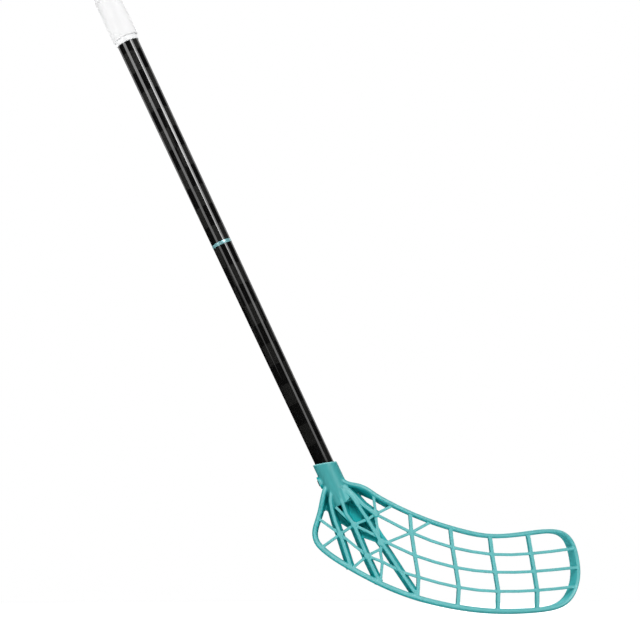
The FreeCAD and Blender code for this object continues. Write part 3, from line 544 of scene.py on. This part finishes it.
def soft_box(name, place, target, long_way, wide, long, glow, levels):
    """A rectangular lamp at a place, with its face towards the target and its length along the long
    way. Its power is its glow times pi times its area, and the levels, each a share of its length with
    the share of the glow there, make it fade along its length."""
    lamp = bpy.data.lights.new(name, "AREA")
    lamp.shape, lamp.size, lamp.size_y = "RECTANGLE", wide, long
    lamp.energy = glow * np.pi * wide * long
    lamp.use_nodes = True
    tree = lamp.node_tree
    height = node(tree, "SeparateXYZ", {0: node(tree, "NewGeometry")["Parametric"]})[1]
    fade = tree.nodes.new("ShaderNodeValToRGB")
    tree.links.new(height, fade.inputs[0])
    for index, (share, bright) in enumerate(levels):
        stop = fade.color_ramp.elements[index] if index < 2 else fade.color_ramp.elements.new(share)
        stop.position, stop.color = share, (bright, bright, bright, 1)
    tree.links.new(fade.outputs[0], tree.nodes["Emission"].inputs["Strength"])
    box = bpy.data.objects.new(name, lamp)
    back = (place - target) / np.linalg.norm(place - target)
    up = long_way - back * np.dot(long_way, back)
    up = up / np.linalg.norm(up)
    seat = np.eye(4)
    seat[:3, :3] = np.stack([np.cross(up, back), up, back], 1)
    seat[:3, 3] = place
    box.matrix_world = Matrix(seat)
    box.visible_camera = False
    bpy.context.scene.collection.objects.link(box)
    return box


def beside_shaft(degrees, level, away):
    """A place at an angle round the shaft from the front, at a level along it and a distance from it."""
    outwards = VIEWERWARDS * np.cos(np.radians(degrees)) + TOEWARDS * np.sin(np.radians(degrees))
    return MOUTH + UP_SHAFT * level + outwards * away


for name, degrees, wide, glow, fade in SHAFT_BOXES:
    place = beside_shaft(degrees, SHAFT_BOX_LEVEL, SHAFT_BOX_AWAY)
    box = soft_box(
        name, place, MOUTH + UP_SHAFT * SHAFT_BOX_LEVEL, UP_SHAFT, wide, SHAFT_BOX_LONG, glow, fade)
    box.visible_diffuse = False
soft_box("front_box", FRONT_BOX, BLADE_MIDDLE, TOEWARDS, WIDE_BOX, WIDE_BOX, FRONT_GLOW, EVEN)
back_box = soft_box("back_box", BACK_BOX, STICK_MIDDLE, TOEWARDS, WIDE_BOX, WIDE_BOX, BACK_GLOW, EVEN)
back_box.visible_glossy = False
for name, degrees, level, away, glow in GRIP_LAMPS:
    place = beside_shaft(degrees, level, away)
    box = soft_box(name, place, GRIP_FOOT, UP_SHAFT, GRIP_LAMP_WIDE, GRIP_LAMP_LONG, glow, EVEN)
    box.visible_glossy = False

TENT_LEVELS = np.array([-0.06, 0.13, 0.22, 0.61, 1.2])
TENT_AWAY, TENT_STEPS = 0.35, 17
# Each wall of the tent: its first and last angle round the shaft, at each of the levels.
TENT_WALLS = np.array([
    [[-41.0, -41.0, -27.5, -24.5, -24.5], [26.0, 26.8, 27.6, 30.8, 30.8]],
    [[48.5, 50.2, 51.8, 57.6, 57.6], [120.0] * 5],
    [[150.0] * 5, [210.0] * 5],
    [[240.0] * 5, [319.0, 319.0, 308.5, 305.5, 305.5]],
])
WALL_HEIGHT, WALL_AWAY, WALL_FROM, WALL_TO, WALL_STEPS = 0.30, 0.9, 80.0, 280.0, 33
STRIP_FRONT, STRIP_LEVEL = -0.03, FLOOR_LEVEL + 0.001
DRAPE_BLACK = (0.004, 0.004, 0.004, 1)


def grid_faces(corners):
    """The four-sided faces of a grid of corner numbers, or of several such grids."""
    return np.stack([
        corners[..., :-1, :-1], corners[..., :-1, 1:], corners[..., 1:, 1:], corners[..., 1:, :-1],
    ], -1).reshape(-1, 4)


steps = np.linspace(0.0, 1.0, TENT_STEPS)
tent_angle = np.radians(TENT_WALLS[:, 0, :, None] * (1 - steps) + TENT_WALLS[:, 1, :, None] * steps)
tent_out = np.cos(tent_angle)[..., None] * VIEWERWARDS + np.sin(tent_angle)[..., None] * TOEWARDS
tent_points = MOUTH + TENT_LEVELS[:, None, None] * UP_SHAFT + tent_out * TENT_AWAY
tent_corners = np.arange(tent_angle.size).reshape(tent_angle.shape)
wall_angle = np.radians(np.linspace(WALL_FROM, WALL_TO, WALL_STEPS))
wall_x = BLADE_MIDDLE[0] + np.sin(wall_angle) * WALL_AWAY
wall_y = BLADE_MIDDLE[1] - np.cos(wall_angle) * WALL_AWAY
wall_points = np.stack([
    np.stack([wall_x, np.full(WALL_STEPS, STRIP_FRONT), np.full(WALL_STEPS, STRIP_LEVEL)], -1),
    np.stack([wall_x, wall_y, np.full(WALL_STEPS, STRIP_LEVEL)], -1),
    np.stack([wall_x, wall_y, np.full(WALL_STEPS, BLADE_MIDDLE[2] + WALL_HEIGHT)], -1),
])
wall_corners = np.arange(3 * WALL_STEPS).reshape(3, WALL_STEPS) + tent_corners.size
tent_mesh = bpy.data.meshes.new("dark_tent")
tent_mesh.from_pydata(
    np.concatenate([tent_points.reshape(-1, 3), wall_points.reshape(-1, 3)]), [],
    np.concatenate([grid_faces(tent_corners), grid_faces(wall_corners)]).tolist())
tent = bpy.data.objects.new("dark_tent", tent_mesh)
bpy.context.scene.collection.objects.link(tent)
drape = finish("black_drape", Roughness=1.0, Specular_IOR_Level=0.0, Base_Color=DRAPE_BLACK)[0]
tent_mesh.materials.append(drape)
tent.visible_camera = tent.visible_diffuse = tent.visible_shadow = tent.visible_transmission = False


# ---- Camera --------------------------------------------------------------------------------------
# The photograph's view: low in front of the stick, square to the blade and tilted a little up,
# through a long lens.

CAMERA_LENS, CAMERA_SENSOR, CAMERA_TILT = 118.0, 36.0, 96.9
CAMERA_PLACE = 0.2919, -2.2998, -0.75399

camera_data = bpy.data.cameras.new("camera")
camera_data.lens, camera_data.sensor_width = CAMERA_LENS, CAMERA_SENSOR
camera = bpy.data.objects.new("camera", camera_data)
camera.location = CAMERA_PLACE
camera.rotation_euler = (np.radians(CAMERA_TILT), 0.0, 0.0)
bpy.context.scene.collection.objects.link(camera)
bpy.context.scene.camera = camera
bpy.context.scene.view_settings.view_transform = "Standard"
